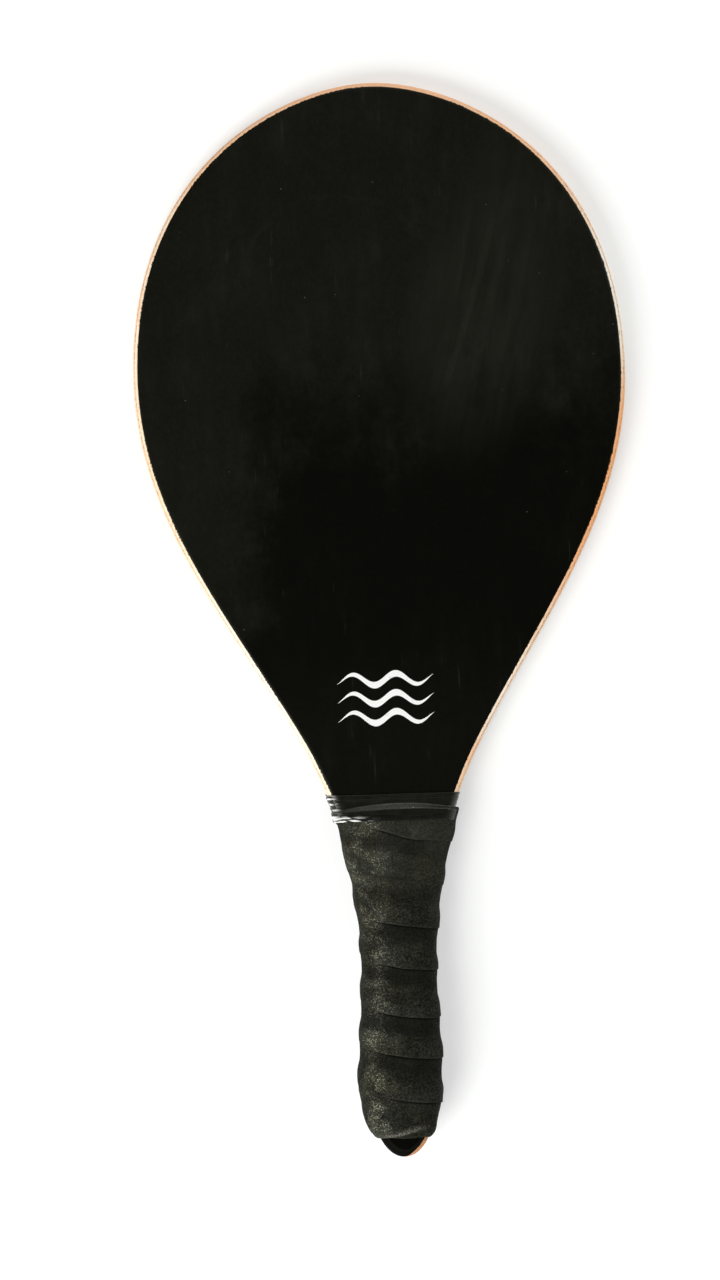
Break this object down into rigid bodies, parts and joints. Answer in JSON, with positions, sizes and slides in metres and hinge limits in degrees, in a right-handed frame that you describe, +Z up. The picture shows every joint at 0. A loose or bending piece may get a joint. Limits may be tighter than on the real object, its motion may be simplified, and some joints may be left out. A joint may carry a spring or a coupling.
{
  "type": "beach paddle",
  "caption": "Teardrop beach paddle of black-faced plywood with bare rounded edges and a thick handle wound with cushioned tape.",
  "frame": {"origin": "middle of the paddle's footprint, on the surface it lies on", "axes": "+Y from the butt to the head, +X across the blade, +Z up out of the front face, which tips 1.3 degrees down towards the head because the paddle lies on the rim of its head and the swell of its grip"},
  "size_m": [0.2292, 0.5, 0.0291],
  "materials": {
    "okoume_veneer": "satin varnish over salmon-pink veneer",
    "okoume_cross_veneer": "satin varnish over end grain",
    "cheek_wood": "sanded, hidden under the winding",
    "black_facing": "satin black facing sheet with fine wipe marks",
    "grip_tape": "matt napped cushion tape, charcoal",
    "vinyl_tape": "glossy stretched vinyl tape"
  },
  "bodies": {
    "root": {"core_ply_1": "okoume_veneer", "core_ply_2": "okoume_cross_veneer", "core_ply_3": "okoume_veneer", "core_ply_4": "okoume_cross_veneer", "core_ply_5": "okoume_veneer", "front_laminate": "black_facing", "back_laminate": "black_facing", "front_cheek": "cheek_wood", "back_cheek": "cheek_wood", "grip_tape": "grip_tape", "finishing_tape": "vinyl_tape"}
  },
  "joints": []
}
